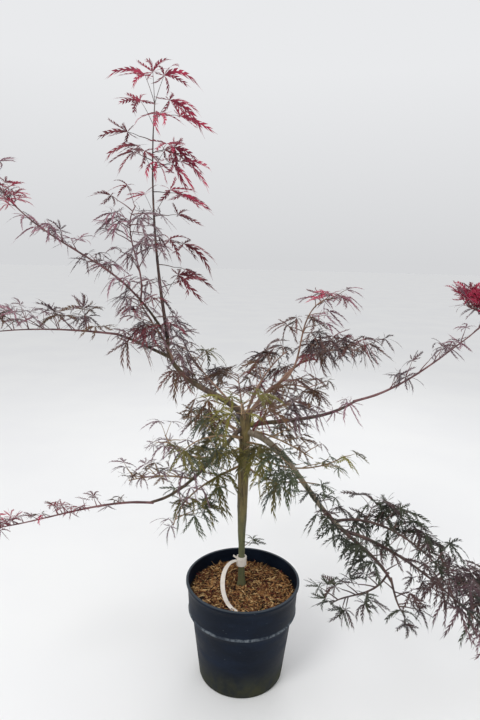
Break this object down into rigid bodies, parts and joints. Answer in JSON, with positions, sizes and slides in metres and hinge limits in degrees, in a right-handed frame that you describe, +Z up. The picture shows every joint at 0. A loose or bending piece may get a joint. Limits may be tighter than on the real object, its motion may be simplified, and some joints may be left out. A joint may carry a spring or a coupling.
{
  "type": "potted laceleaf maple",
  "caption": "Young laceleaf maple with a slender leaning trunk, arching boughs and open sprays of finely cut red, mauve and olive leaves, in a round nursery pot.",
  "frame": {"origin": "centre of the pot's flat underside, on the surface that it stands on", "axes": "+Z up along the pot's axis; +Y points away from the viewer of the front; +X to the viewer's right"},
  "size_m": [1.331, 0.7853, 1.4719],
  "materials": {
    "pot": "dark blue-grey moulded plastic, matt, scuffed pale along the band and rim",
    "growing_medium": "loose reddish-brown bark chips and coir",
    "trunk_bark": "smooth olive bark with a yellow streak",
    "bough_bark": "smooth brown bark",
    "grey_bark": "grey-beige bark",
    "foliage_crimson": "young crimson leaves",
    "foliage_mauve": "mauve leaves",
    "foliage_olive": "olive and bronze leaves",
    "foliage_dark_purple": "dark purple leaves",
    "foliage_grey_green": "grey-green leaves",
    "label": "blank cream label plastic"
  },
  "bodies": {
    "root": {"bough_drooping": "grey_bark", "bough_leader": "bough_bark", "bough_left": "bough_bark", "bough_lower_left": "bough_bark", "bough_lower_right": "grey_bark", "bough_right": "bough_bark", "bough_upper_left": "bough_bark", "bough_upper_right": "bough_bark", "growing_medium": "growing_medium", "mass_back": "foliage_olive", "mass_back_left": "foliage_olive", "mass_back_right": "foliage_dark_purple", "mass_crown": "foliage_dark_purple", "mass_crown_left": "foliage_olive", "mass_drooping_left": "foliage_mauve", "mass_drooping_right": "foliage_dark_purple", "mass_front": "foliage_olive", "mass_front_left": "foliage_olive", "mass_front_right": "foliage_olive", "mass_leader": "foliage_crimson", "mass_left": "foliage_mauve", "mass_left_high": "foliage_mauve", "mass_left_inner": "foliage_mauve", "mass_left_middle": "foliage_olive", "mass_left_short": "foliage_olive", "mass_left_spray": "foliage_olive", "mass_lower_left": "foliage_mauve", "mass_lower_left_spray": "foliage_mauve", "mass_lower_right": "foliage_grey_green", "mass_lower_right_high": "foliage_grey_green", "mass_middle_right": "foliage_olive", "mass_middle_right_low": "foliage_grey_green", "mass_right": "foliage_mauve", "mass_right_inner": "foliage_olive", "mass_upper_left": "foliage_mauve", "mass_upper_right": "foliage_dark_purple", "mass_upper_right_low": "foliage_dark_purple", "mass_upper_right_top": "foliage_crimson", "plant_label": "label", "pot": "pot", "trunk": "trunk_bark"}
  },
  "joints": []
}
